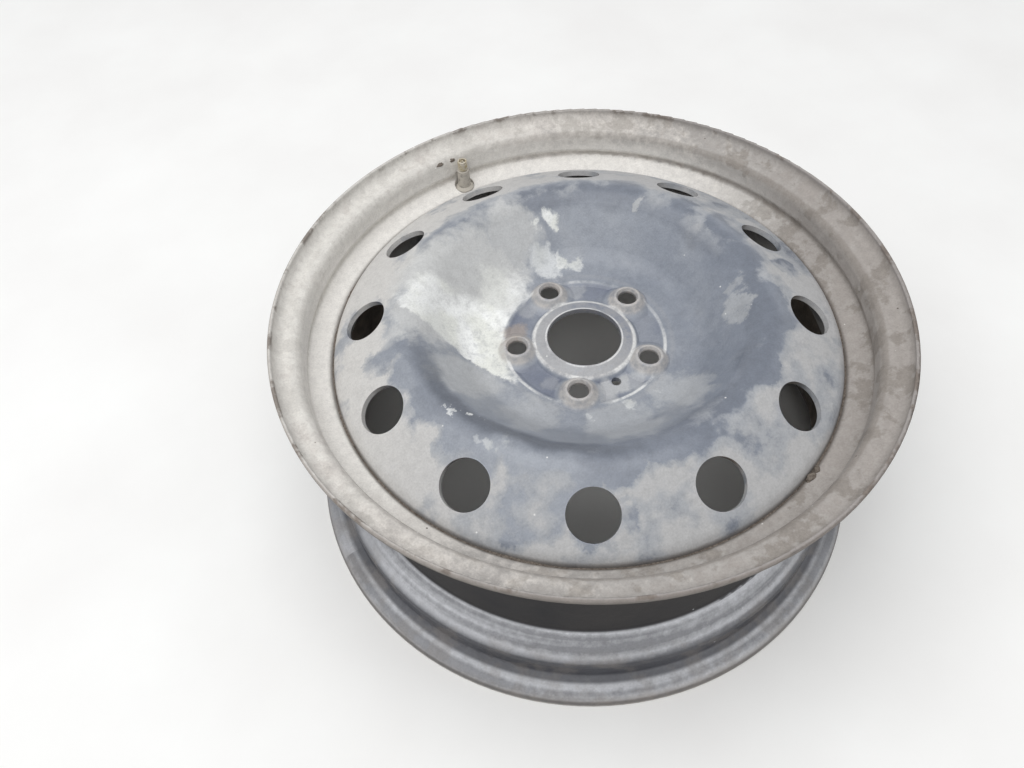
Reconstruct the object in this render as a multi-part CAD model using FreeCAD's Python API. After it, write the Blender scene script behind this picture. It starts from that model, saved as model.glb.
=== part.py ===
import FreeCAD, Part
import math
import os

# Steel car wheel, 6.5 x 16 inch, lying with its outer face up.
# The frame's origin is the centre of the hub face, and +Z points to the outer side.

# Rim: the seat, flange and well sizes of a standard passenger-car rim
rim_width = 165.1
wheel_offset = 45.0
bead_seat_radius = 202.8
bead_seat_taper = 5.0
flange_height = 17.3
flange_lip = 12.45
flange_roll_radius = 9.5
flange_heel_radius = 6.0
rim_sheet = 2.5
hump_distance = 17.4
hump_height = 1.3
hump_half_width = 3.6
hump_bend_radius = 3.0
knee_drop = 4.4
knee_bend_radius = 4.0
well_depth = 17.4
well_bend_radius = 4.5
outer_wall_angle = 17.0
inner_ramp_angle = 51.0
ramp_bend_radius = 9.0

# Disc: one pressing from the bore's collar to the skirt in the well
disc_sheet = 4.0
bore_diameter = 54.1
collar_shoulder_radius = 36.4
collar_foot_radius = 39.6
collar_rise = 3.3
collar_angle = 12.0
hub_land_radius = 55.6
hub_step_run = 3.2
hub_step_rise = 1.6
hub_bend_radius = 3.0
floor_angle = 8.0
wall_foot_radius = 83.9
wall_foot_bend_radius = 25.0
crown_recess = 5.2
crown_bend_radius = 18.0
vent_slope = 29.5
vent_count = 12
vent_inset = 25.15
vent_recess = 19.9
vent_diameter = 34.0
shoulder_bend_radius = 10.0
skirt_depth = 58.0

# Bolt circle: raised seats with a cone for the nuts, and the small locating hole
bolt_count = 5
bolt_circle_diameter = 100.0
bolt_hole_diameter = 13.9
seat_cone_diameter = 16.4
seat_cone_angle = 30.0
boss_top_height = 12.0
boss_top_diameter = 19.5
boss_wall_angle = 52.0
boss_wall_drop = 5.0
boss_foot_angle = 28.0
boss_edge_radius = 2.0
boss_bend_radius = 8.0
boss_sink = 0.3
boss_in_collar = 1.4
locating_hole_diameter = 7.0
locating_hole_radius = 43.4
locating_hole_angle = -90.0

# Fits between the pieces
disc_in_rim_gap = 0.05
weld_gap = 0.02
bond_gap = 0.02
core_gap = 0.05

# Welds on the hidden side of the skirt
weld_count = 8
weld_span = 22.0
weld_leg = 4.0
weld_bulge = 0.35

# Tyre valve, standing parallel to the wheel's axis in a dimple of the outer well wall
valve_inset = 10.3
valve_recess = 38.1
valve_hole_diameter = 11.5
dimple_diameter = 16.6
dimple_wall = 2.0
dimple_height = 13.0
body_shoulder_diameter = 15.2
body_shoulder_rim = 1.0
body_shoulder_height = 3.0
body_neck_diameter = 10.6
body_top_diameter = 9.6
body_top = 18.5
body_edge_radius = 0.6
bulb_diameter = 13.4
bulb_length = 10.4
bulb_straight = 2.0
bulb_end_diameter = 10.4
stem_diameter = 7.7
stem_shank_diameter = 6.2
stem_top = 27.5
stem_thread_length = 8.6
stem_edge_radius = 0.5
stem_foot_diameter = 8.2
stem_foot_length = 1.6
stem_foot_cover = 1.2
stem_bore_diameter = 4.2
stem_mouth_diameter = 5.4
stem_mouth_depth = 6.4
stem_seat_depth = 1.2

# Valve core inside the stem
plug_recess = 1.4
plug_length = 4.0
plug_hole_diameter = 2.0
plug_slot_depth = 1.6
plug_flat_width = 3.0
barrel_diameter = 3.4
barrel_bore_diameter = 2.6
barrel_length = 9.0
barrel_end_wall = 1.0
barrel_mouth_diameter = 1.6
gasket_length = 1.0
pin_diameter = 1.1
pin_top_recess = 0.4
pin_tip_radius = 0.3
pin_collar_diameter = 1.9
pin_collar_length = 0.5
pin_collar_drop = 1.4
spring_wire = 0.26
spring_turns = 6
cup_diameter = 3.2
cup_height = 1.6
cup_seal_diameter = 2.8
cup_seal_height = 0.6

# Places that follow from the sizes above
middle_plane = -wheel_offset
half_width = rim_width / 2.0
rim_edge = middle_plane + half_width + flange_lip
well_outer_radius = bead_seat_radius - well_depth
well_inner_radius = well_outer_radius - rim_sheet
skirt_radius = well_inner_radius - disc_in_rim_gap
skirt_bottom = rim_edge - skirt_depth
crown_height = rim_edge - crown_recess
vent_circle_radius = skirt_radius - vent_inset
vent_height = rim_edge - vent_recess
valve_radius = bead_seat_radius - valve_inset
valve_seat_height = rim_edge - valve_recess
valve_top = valve_seat_height + stem_top
core_seat = valve_top - stem_mouth_depth
plug_top = valve_top - plug_recess
barrel_top = plug_top - plug_length
barrel_bottom = barrel_top - barrel_length
spring_foot = barrel_bottom + barrel_end_wall
collar_under = barrel_top - pin_collar_drop - pin_collar_length

edge_match = 0.01
up = FreeCAD.Vector(0, 0, 1)
centre = FreeCAD.Vector(0, 0, 0)
valve_place = FreeCAD.Vector(0, valve_radius, 0)


def slope(angle):
    return math.tan(math.radians(angle))


def spot(r, z):
    return FreeCAD.Vector(r, 0, z)


def meet(start, start_angle, end, end_angle):
    # where two straight runs of a section cross, each given by a point and its slope
    a = slope(start_angle)
    b = slope(end_angle)
    r = (end[1] - start[1] + a * start[0] - b * end[0]) / (a - b)
    return (r, start[1] + a * (r - start[0]))


def tangent_angle(start, pivot, radius):
    # slope of the straight run from a point to the upper side of a bend
    away = math.hypot(pivot[0] - start[0], pivot[1] - start[1])
    return math.degrees(math.atan2(pivot[1] - start[1], pivot[0] - start[0]) + math.asin(radius / away))


def left_of(way):
    return FreeCAD.Vector(-way.z, 0, way.x)


def sheet_side(corners, shift):
    # one face of a bent sheet, as lines and arcs at a distance from the middle line
    edges = []
    last = None
    for i, (r, z, bend) in enumerate(corners):
        here = spot(r, z)
        if i > 0:
            come = (here - spot(*corners[i - 1][:2])).normalize()
        if i < len(corners) - 1:
            go = (spot(*corners[i + 1][:2]) - here).normalize()
        if i == 0:
            last = here + left_of(go) * shift
            continue
        if i == len(corners) - 1:
            edges.append(Part.makeLine(last, here + left_of(come) * shift))
            continue
        turn = come.z * go.x - come.x * go.z
        side = -1.0 if turn > 0 else 1.0
        reach = bend * math.tan(come.getAngle(go) / 2.0)
        pivot = here - come * reach + left_of(come) * bend * side
        begin = here - come * reach + left_of(come) * shift
        finish = here + go * reach + left_of(go) * shift
        middle = pivot + (here - pivot).normalize() * (bend - side * shift)
        edges.append(Part.makeLine(last, begin))
        edges.append(Part.Arc(begin, middle, finish).toShape())
        last = finish
    return edges


def sheet_ring(corners, thickness, round_ends):
    # a sheet bent along a middle line of (radius, height, bend radius) and turned about the axis
    half = thickness / 2.0
    left = sheet_side(corners, half)
    right = sheet_side(corners, -half)
    edges = left + right
    for at, beside in ((0, 1), (-1, -2)):
        tip = spot(*corners[at][:2])
        out = (tip - spot(*corners[beside][:2])).normalize()
        across = left_of(out) * half
        if round_ends:
            edges.append(Part.Arc(tip + across, tip + out * half, tip - across).toShape())
        else:
            edges.append(Part.makeLine(tip + across, tip - across))
    wire = Part.Wire(Part.sortEdges(edges)[0])
    return Part.Face(wire).revolve(centre, up, 360)


def turned(outline, place=centre):
    # a turned piece from an outline of (radius, height) points
    points = [spot(r, z) for r, z in outline]
    wire = Part.makePolygon(points + points[:1])
    ring = Part.Face(wire).revolve(centre, up, 360)
    ring.translate(place)
    return ring


def rounded(shape, radius, rings):
    # rounds the circular edges that lie at the given (radius, height) pairs
    chosen = []
    for edge in shape.Edges:
        if not hasattr(edge.Curve, "Radius"):
            continue
        for r, z in rings:
            if abs(edge.Curve.Radius - r) + abs(edge.CenterOfMass.z - z) < edge_match:
                chosen.append(edge)
    return shape.makeFillet(radius, chosen)


def around(radius, angle, z=0.0):
    turn = math.radians(angle)
    return FreeCAD.Vector(radius * math.cos(turn), radius * math.sin(turn), z)


def bead_side(sign):
    # middle line of one flange, bead seat and hump, from the lip inwards
    half = rim_sheet / 2.0
    face = half_width + half
    lip = (bead_seat_radius + flange_height - half, half_width + flange_lip - half, 0.0)
    roll = (bead_seat_radius + flange_height - half, face, flange_roll_radius - half)
    heel = (bead_seat_radius - half, face, flange_heel_radius + half)
    seat_end = half_width - hump_distance + hump_half_width
    foot_radius = heel[0] - (face - seat_end) * slope(bead_seat_taper)
    foot = (foot_radius, seat_end, hump_bend_radius)
    top = (foot_radius + hump_height, seat_end - hump_half_width, hump_bend_radius)
    line = [lip, roll, heel, foot, top]
    return [(r, middle_plane + sign * z, bend) for r, z, bend in line]


def well_line():
    # middle line of the drop well between the two humps
    line_radius = well_outer_radius - rim_sheet / 2.0
    outer_top = bead_side(1)[-1]
    inner_top = bead_side(-1)[-1]
    outer_knee = (outer_top[0], outer_top[1] - knee_drop, knee_bend_radius)
    inner_knee = (inner_top[0], inner_top[1] + knee_drop, knee_bend_radius)
    depth = outer_knee[0] - line_radius
    outer_foot = (line_radius, outer_knee[1] - depth * slope(outer_wall_angle), well_bend_radius)
    inner_foot = (line_radius, inner_knee[1] + depth * slope(inner_ramp_angle), ramp_bend_radius)
    return [outer_knee, outer_foot, inner_foot, inner_knee]


def valve_dimple():
    # the metal pressed down round the valve hole, kept under the wall's upper face
    knee, foot = well_line()[:2]
    rise = rim_sheet / 2.0 / math.cos(math.radians(outer_wall_angle))
    floor_under = valve_seat_height - rim_sheet
    backing = turned([
        (foot[0], floor_under),
        (knee[0], floor_under),
        (knee[0], knee[1] + rise - knee_bend_radius * slope(outer_wall_angle)),
        (foot[0], foot[1] + rise),
    ])
    start = valve_place + up * (floor_under - dimple_height)
    plug = Part.makeCylinder(dimple_diameter / 2.0 + dimple_wall, 3 * dimple_height, start)
    return backing.common(plug)


def make_rim():
    line = bead_side(1) + well_line() + bead_side(-1)[::-1]
    rim = sheet_ring(line, rim_sheet, True)
    rim = rim.fuse(valve_dimple())
    sink = Part.makeCylinder(dimple_diameter / 2.0, dimple_height, valve_place + up * valve_seat_height)
    under = valve_seat_height - 2 * rim_sheet
    hole = Part.makeCylinder(valve_hole_diameter / 2.0, dimple_height, valve_place + up * under)
    return rim.cut(sink).cut(hole).removeSplitter()


def disc_line():
    # middle line of the disc from inside the bore to the skirt's lower edge
    half = disc_sheet / 2.0
    vent_line = (vent_circle_radius, vent_height - half / math.cos(math.radians(vent_slope)))
    land = half
    shoulder = (collar_shoulder_radius, land + collar_rise)
    inside = bore_diameter / 4.0
    tip = (inside, shoulder[1] + (shoulder[0] - inside) * slope(collar_angle))
    step_top = (hub_land_radius + hub_step_run, land + hub_step_rise)
    pivot_z = crown_height - half - crown_bend_radius
    normal = math.radians(vent_slope)
    reach = vent_line[0] * math.sin(normal) + vent_line[1] * math.cos(normal) - crown_bend_radius
    pivot_r = (reach - pivot_z * math.cos(normal)) / math.sin(normal)
    wall_foot = (wall_foot_radius, step_top[1] + (wall_foot_radius - step_top[0]) * slope(floor_angle))
    wall_angle = tangent_angle(wall_foot, (pivot_r, pivot_z), crown_bend_radius)
    crown = meet(wall_foot, wall_angle, vent_line, -vent_slope)
    skirt = skirt_radius - half
    brim = (skirt, vent_line[1] - (skirt - vent_line[0]) * slope(vent_slope))
    return [
        (*tip, 0.0),
        (*shoulder, hub_bend_radius),
        (collar_foot_radius, land, hub_bend_radius),
        (hub_land_radius, land, hub_bend_radius),
        (*step_top, hub_bend_radius),
        (*wall_foot, wall_foot_bend_radius),
        (*crown, crown_bend_radius),
        (*brim, shoulder_bend_radius),
        (skirt, skirt_bottom, 0.0),
    ]


def bolt_spots():
    return [around(bolt_circle_diameter / 2.0, 90.0 + i * 360.0 / bolt_count) for i in range(bolt_count)]


def nut_boss():
    # the raised seat pressed up round each bolt hole, its flank easing out to the hub
    base = disc_sheet - boss_sink
    top = (boss_top_diameter / 2.0, boss_top_height)
    bend = (top[0] + boss_wall_drop / slope(boss_wall_angle), boss_top_height - boss_wall_drop)
    foot = (bend[0] + (bend[1] - base) / slope(boss_foot_angle), base)
    boss = turned([(0, base), foot, bend, top, (0, boss_top_height)])
    return rounded(rounded(boss, boss_edge_radius, [top]), boss_bend_radius, [bend])


def boss_hollow():
    # the hollow under a seat, at the sheet's thickness below it
    ceiling = boss_top_height - disc_sheet
    top = boss_top_diameter / 2.0 - disc_sheet * slope(boss_wall_angle / 2.0)
    wide = top + (ceiling + disc_sheet) / slope(boss_wall_angle)
    return turned([(0, -disc_sheet), (wide, -disc_sheet), (top, ceiling), (0, ceiling)])


def nut_hole():
    # the bolt hole with its cone
    hole = bolt_hole_diameter / 2.0
    mouth = seat_cone_diameter / 2.0
    depth = (mouth - hole) / slope(seat_cone_angle)
    high = boss_top_height + disc_sheet
    spread = mouth + disc_sheet * slope(seat_cone_angle)
    return turned([(0, 0), (hole, 0), (hole, boss_top_height - depth), (spread, high), (0, high)])


def vent_cutter(angle):
    lean = math.radians(vent_slope)
    out = around(math.sin(lean), angle, math.cos(lean))
    start = around(vent_circle_radius, angle, vent_height) - out * vent_diameter / 2.0
    return Part.makeCylinder(vent_diameter / 2.0, vent_diameter, start, out)


def make_disc():
    disc = sheet_ring(disc_line(), disc_sheet, False)
    collar_core = Part.makeCylinder(collar_shoulder_radius - boss_in_collar, boss_top_height, centre)
    bosses = []
    hollows = []
    cutters = []
    for place in bolt_spots():
        bosses.append(nut_boss().translated(place).cut(collar_core))
        hollows.append(boss_hollow().translated(place))
        cutters.append(nut_hole().translated(place))
    for i in range(vent_count):
        cutters.append(vent_cutter(i * 360.0 / vent_count))
    cutters.append(Part.makeCylinder(bore_diameter / 2.0, crown_height, centre))
    pin_place = around(locating_hole_radius, locating_hole_angle, -disc_sheet)
    cutters.append(Part.makeCylinder(locating_hole_diameter / 2.0, 3 * disc_sheet, pin_place))
    disc = disc.fuse(bosses).removeSplitter()
    return disc.cut(hollows).cut(cutters)


def make_weld_beads():
    # fillet welds with a bulging face, spaced evenly between the vent holes
    outer = well_inner_radius - weld_gap
    inner = outer - weld_leg
    top = skirt_bottom - weld_gap
    bulge = spot(inner + weld_bulge * weld_leg, top - (1.0 - weld_bulge) * weld_leg)
    edges = [
        Part.makeLine(spot(inner, top), spot(outer, top)),
        Part.makeLine(spot(outer, top), spot(outer, top - weld_leg)),
        Part.Arc(spot(outer, top - weld_leg), bulge, spot(inner, top)).toShape(),
    ]
    section = Part.Face(Part.Wire(edges))
    beads = []
    for i in range(weld_count):
        bead = section.revolve(centre, up, weld_span)
        bead.rotate(centre, up, i * 360.0 / weld_count - weld_span / 2.0)
        beads.append(bead)
    return Part.makeCompound(beads)


def make_valve_body():
    # rubber: bulb under the rim, groove in the hole, shoulder and neck above it
    seat = valve_seat_height
    under = seat - rim_sheet
    foot = under - bulb_length
    hole = valve_hole_diameter / 2.0 - bond_gap
    bulb = bulb_diameter / 2.0
    shoulder = body_shoulder_diameter / 2.0
    top = seat + body_top
    inner = stem_shank_diameter / 2.0 + bond_gap
    flange = stem_foot_diameter / 2.0 + bond_gap
    flange_low = foot + stem_foot_cover - bond_gap
    flange_high = foot + stem_foot_cover + stem_foot_length + bond_gap
    body = turned([
        (stem_bore_diameter / 2.0, foot),
        (bulb_end_diameter / 2.0, foot),
        (bulb, under - bulb_straight),
        (bulb, under - bond_gap),
        (hole, under - bond_gap),
        (hole, seat + bond_gap),
        (shoulder, seat + bond_gap),
        (shoulder, seat + body_shoulder_rim),
        (body_neck_diameter / 2.0, seat + body_shoulder_height),
        (body_top_diameter / 2.0, top),
        (inner, top),
        (inner, flange_high),
        (flange, flange_high),
        (flange, flange_low),
        (stem_bore_diameter / 2.0, flange_low),
    ])
    body = rounded(body, body_edge_radius, [(bulb_end_diameter / 2.0, foot), (body_top_diameter / 2.0, top)])
    body.translate(valve_place)
    return body


def make_valve_stem():
    # brass: threaded end, shank and foot, bored through and opened at the mouth for the core
    foot = valve_seat_height - rim_sheet - bulb_length + stem_foot_cover
    step = valve_top - stem_thread_length
    outer = stem_diameter / 2.0
    bore = stem_bore_diameter / 2.0
    mouth = stem_mouth_diameter / 2.0
    stem = turned([
        (bore, foot),
        (stem_foot_diameter / 2.0, foot),
        (stem_foot_diameter / 2.0, foot + stem_foot_length),
        (stem_shank_diameter / 2.0, foot + stem_foot_length),
        (stem_shank_diameter / 2.0, step),
        (outer, step),
        (outer, valve_top),
        (mouth, valve_top),
        (mouth, core_seat),
        (bore, core_seat - stem_seat_depth),
    ])
    stem = rounded(stem, stem_edge_radius, [(outer, valve_top)])
    stem.translate(valve_place)
    return stem


def make_core_plug():
    # the screwed plug, with its upper end milled to two flats for the key
    plug = turned([
        (plug_hole_diameter / 2.0, barrel_top),
        (stem_mouth_diameter / 2.0 - core_gap, barrel_top),
        (stem_mouth_diameter / 2.0 - core_gap, plug_top),
        (plug_hole_diameter / 2.0, plug_top),
    ])
    wide = stem_mouth_diameter
    for side in (-1, 1):
        low = plug_flat_width / 2.0 if side > 0 else -plug_flat_width / 2.0 - wide
        corner = FreeCAD.Vector(low, -wide, plug_top - plug_slot_depth)
        plug = plug.cut(Part.makeBox(wide, 2 * wide, 2 * plug_slot_depth, corner))
    plug.translate(valve_place)
    return plug


def make_core_barrel():
    bore = barrel_bore_diameter / 2.0
    return turned([
        (barrel_mouth_diameter / 2.0, barrel_bottom),
        (barrel_diameter / 2.0, barrel_bottom),
        (barrel_diameter / 2.0, barrel_top - bond_gap),
        (bore, barrel_top - bond_gap),
        (bore, spring_foot),
        (barrel_mouth_diameter / 2.0, spring_foot),
    ], valve_place)


def make_core_gasket():
    # sealing ring pressed into the stem's tapered seat
    inner = barrel_diameter / 2.0 + bond_gap
    top = core_seat
    bottom = core_seat - gasket_length
    taper = (stem_mouth_diameter - stem_bore_diameter) / 2.0 / stem_seat_depth
    wide = stem_mouth_diameter / 2.0 - core_gap
    narrow = wide - gasket_length * taper
    return turned([(inner, bottom), (narrow, bottom), (wide, top), (inner, top)], valve_place)


def make_core_pin():
    # pin with the collar that the spring lifts
    shaft = pin_diameter / 2.0
    collar = pin_collar_diameter / 2.0
    top = valve_top - pin_top_recess
    foot = barrel_bottom - cup_seal_height - cup_height
    pin = turned([
        (0, foot),
        (shaft, foot),
        (shaft, collar_under),
        (collar, collar_under),
        (collar, collar_under + pin_collar_length),
        (shaft, collar_under + pin_collar_length),
        (shaft, top),
        (0, top),
    ])
    pin = rounded(pin, pin_tip_radius, [(shaft, top)])
    pin.translate(valve_place)
    return pin


def make_core_spring():
    # coil between the barrel's end wall and the pin's collar
    low = spring_foot + spring_wire / 2.0 + bond_gap
    high = collar_under - spring_wire / 2.0 - bond_gap
    radius = (barrel_bore_diameter / 2.0 + pin_diameter / 2.0) / 2.0
    pitch = (high - low) / spring_turns
    path = Part.Wire(Part.makeHelix(pitch, high - low, radius))
    ring = Part.Circle(FreeCAD.Vector(radius, 0, 0), FreeCAD.Vector(0, 1, 0), spring_wire / 2.0)
    coil = path.makePipeShell([Part.Wire(ring.toShape())], True, True)
    coil.translate(valve_place + up * low)
    return coil


def make_core_cup():
    # brass cup on the pin's lower end, open above for its seal
    outer = cup_diameter / 2.0
    hold = cup_seal_diameter / 2.0 + bond_gap
    shaft = pin_diameter / 2.0 + bond_gap
    top = barrel_bottom - cup_seal_height
    return turned([
        (shaft, top - cup_height),
        (outer, top - cup_height),
        (outer, top + cup_seal_height / 2.0),
        (hold, top + cup_seal_height / 2.0),
        (hold, top - bond_gap),
        (shaft, top - bond_gap),
    ], valve_place)


def make_cup_seal():
    top = barrel_bottom - bond_gap
    bottom = barrel_bottom - cup_seal_height
    inner = pin_diameter / 2.0 + bond_gap
    outer = cup_seal_diameter / 2.0
    return turned([(inner, bottom), (outer, bottom), (outer, top), (inner, top)], valve_place)


pieces = {
    "rim": make_rim,
    "disc": make_disc,
    "weld_beads": make_weld_beads,
    "valve_body": make_valve_body,
    "valve_stem": make_valve_stem,
    "core_plug": make_core_plug,
    "core_barrel": make_core_barrel,
    "core_gasket": make_core_gasket,
    "core_pin": make_core_pin,
    "core_spring": make_core_spring,
    "core_cup": make_core_cup,
    "cup_seal": make_cup_seal,
}

os.makedirs("parts", exist_ok=True)
for name, make in pieces.items():
    shape = make()
    shape.exportStep("parts/" + name + ".step")
    box = shape.BoundBox
    print(name, len(shape.Solids), shape.isValid(), round(shape.Volume, 1), round(box.ZMin, 2), round(box.ZMax, 2))
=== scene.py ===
import math
import bmesh
import bpy
from mathutils import Euler, Matrix, Vector, noise


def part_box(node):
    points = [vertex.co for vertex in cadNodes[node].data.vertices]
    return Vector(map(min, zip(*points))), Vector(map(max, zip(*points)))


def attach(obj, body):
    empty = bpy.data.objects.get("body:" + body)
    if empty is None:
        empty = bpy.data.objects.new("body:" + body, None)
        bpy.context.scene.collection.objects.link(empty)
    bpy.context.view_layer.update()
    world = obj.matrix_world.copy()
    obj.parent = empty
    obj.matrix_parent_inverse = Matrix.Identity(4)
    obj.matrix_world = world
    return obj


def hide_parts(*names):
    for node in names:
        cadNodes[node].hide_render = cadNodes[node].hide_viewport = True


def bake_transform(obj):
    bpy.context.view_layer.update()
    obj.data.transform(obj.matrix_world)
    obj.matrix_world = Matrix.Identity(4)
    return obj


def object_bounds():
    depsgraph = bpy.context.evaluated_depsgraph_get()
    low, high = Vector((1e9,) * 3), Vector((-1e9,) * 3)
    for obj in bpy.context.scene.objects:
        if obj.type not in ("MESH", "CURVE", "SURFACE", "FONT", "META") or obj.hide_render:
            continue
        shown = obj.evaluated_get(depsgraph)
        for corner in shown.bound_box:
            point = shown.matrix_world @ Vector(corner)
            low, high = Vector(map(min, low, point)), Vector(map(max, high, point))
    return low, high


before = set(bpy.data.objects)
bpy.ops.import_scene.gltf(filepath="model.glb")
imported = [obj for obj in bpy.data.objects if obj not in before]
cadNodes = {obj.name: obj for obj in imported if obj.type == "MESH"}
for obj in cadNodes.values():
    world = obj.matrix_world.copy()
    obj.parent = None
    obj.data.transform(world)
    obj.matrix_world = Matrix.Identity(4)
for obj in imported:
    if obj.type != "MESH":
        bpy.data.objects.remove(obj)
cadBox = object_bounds()
scene = bpy.context.scene
mm = 0.001
scene.view_settings.view_transform = "Standard"
print("frame loaded with", len(cadNodes), "nodes")


def hexColour(text):
    parts = [int(text[i:i + 2], 16) / 255 for i in (1, 3, 5)]
    linear = [p / 12.92 if p <= 0.04045 else ((p + 0.055) / 1.055) ** 2.4 for p in parts]
    return (*linear, 1.0)


def perMm(size):
    return 1000.0 / size  # pattern scale whose features are about this many millimetres wide


def pick(sockets, key):
    if isinstance(key, int):
        return sockets[key]
    return next(s for s in sockets if s.name == key and s.enabled)


def add(tree, kind, settings=None, links=None):
    node = tree.nodes.new("ShaderNode" + kind)
    for key, value in (settings or {}).items():
        if key == "stops":  # colour ramp: positions and hex colours
            ramp = node.color_ramp
            while len(ramp.elements) < len(value):
                ramp.elements.new(0.5)
            for element, (position, colour) in zip(ramp.elements, value):
                element.position = position
                element.color = hexColour(colour)
        elif isinstance(key, str) and key.islower():
            setattr(node, key, value)
        else:
            pick(node.inputs, key).default_value = value
    for key, source in (links or {}).items():
        if isinstance(source, bpy.types.Node):
            source = next(s for s in source.outputs if s.enabled)
        tree.links.new(source, pick(node.inputs, key))
    return node


def newMaterial(name):
    material = bpy.data.materials.new(name)
    material.use_nodes = True
    tree = material.node_tree
    tree.nodes.clear()
    return material, tree


def wheelPlace(tree):
    # where a point is on the wheel: its place, radius from the axle, height and the way its face looks
    place = add(tree, "TexCoord").outputs["Object"]
    parts = add(tree, "SeparateXYZ", links={0: place})
    flat = add(tree, "CombineXYZ", links={0: parts.outputs[0], 1: parts.outputs[1]})
    radius = add(tree, "VectorMath", {"operation": "LENGTH"}, {0: flat}).outputs["Value"]
    face = add(tree, "SeparateXYZ", links={0: add(tree, "NewGeometry").outputs["Normal"]})
    return {"place": place, "x": parts.outputs[0], "y": parts.outputs[1], "height": parts.outputs[2],
            "flat": flat, "radius": radius, "faceX": face.outputs[0], "faceY": face.outputs[1],
            "faceUp": face.outputs[2]}


def soft(start, end, least=0.0, most=1.0):
    # settings of a mask with soft ends, which goes from least to most while its value goes from start to end
    return {"interpolation_type": "SMOOTHSTEP", "From Min": start, "From Max": end, "To Min": least,
            "To Max": most}


def even(start, end, least=0.0, most=1.0):
    return {**soft(start, end, least, most), "interpolation_type": "LINEAR"}


# Ragged outline of the blots of dirt: its waves in millimetres, how far it strays, and the share that is full
blotEdge = {"wave": 26, "detail": 7.0, "roughness": 0.66, "stray": 0.004, "full": 0.55}


def patches(tree, flat, spots, ragged=9.0):
    # soft-edged blots at (x, y, radius, strength) in millimetres, with ragged outlines
    wander = add(tree, "TexNoise",
                 {"Scale": perMm(blotEdge["wave"]), "Detail": blotEdge["detail"],
                  "Roughness": blotEdge["roughness"]}, {"Vector": flat})
    centred = add(tree, "VectorMath", {"operation": "SUBTRACT", 1: (0.5, 0.5, 0.5)},
                  {0: wander.outputs["Color"]})
    shift = add(tree, "VectorMath", {"operation": "SCALE", "Scale": ragged * blotEdge["stray"]},
                {0: centred})
    moved = add(tree, "VectorMath", {"operation": "ADD"}, {0: flat, 1: shift})
    total = None
    for x, y, size, strength in spots:
        away = add(tree, "VectorMath", {"operation": "DISTANCE", 1: (x * mm, y * mm, 0.0)}, {0: moved})
        blot = add(tree, "MapRange", soft(size * mm, size * mm * blotEdge["full"], 0.0, strength),
                   {"Value": away.outputs["Value"]})
        total = blot if total is None else add(tree, "Math", {"operation": "MAXIMUM"}, {0: total, 1: blot})
    return total


def coats(tree, colour, layers):
    # lays colours over each other, each where its mask says
    for mask, over in layers:
        settings = {"data_type": "RGBA"}
        links = {"Factor": mask, "A": colour}
        if isinstance(over, str):
            settings["B"] = hexColour(over)
        else:
            links["B"] = over
        colour = add(tree, "Mix", settings, links)
    return colour


def specks(tree, place, spacing, size, share):
    # scattered grains: one in each cell of the given spacing, of which only a share is kept
    cells = add(tree, "TexVoronoi", {"Scale": perMm(spacing)}, {"Vector": place})
    dot = add(tree, "MapRange", soft(size / spacing, size / spacing * 0.5),
              {"Value": cells.outputs["Distance"]})
    lot = add(tree, "SeparateXYZ", links={0: cells.outputs["Color"]})
    kept = add(tree, "Math", {"operation": "LESS_THAN", 1: share}, {0: lot.outputs[0]})
    return add(tree, "Math", {"operation": "MULTIPLY"}, {0: dot, 1: kept})


# Fine light and dark grain over both paints
grainLook = {"gritShare": 0.8, "spread": even(0.6, 1.2, 0.84, 1.14)}


def grainy(tree, colour, grit, fine):
    shimmer = add(tree, "Math", {"operation": "MULTIPLY_ADD", 1: grainLook["gritShare"]},
                  {0: grit, 2: fine})
    shimmer = add(tree, "MapRange", grainLook["spread"], {"Value": shimmer})
    return add(tree, "VectorMath", {"operation": "SCALE"}, {0: colour, "Scale": shimmer})


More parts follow.
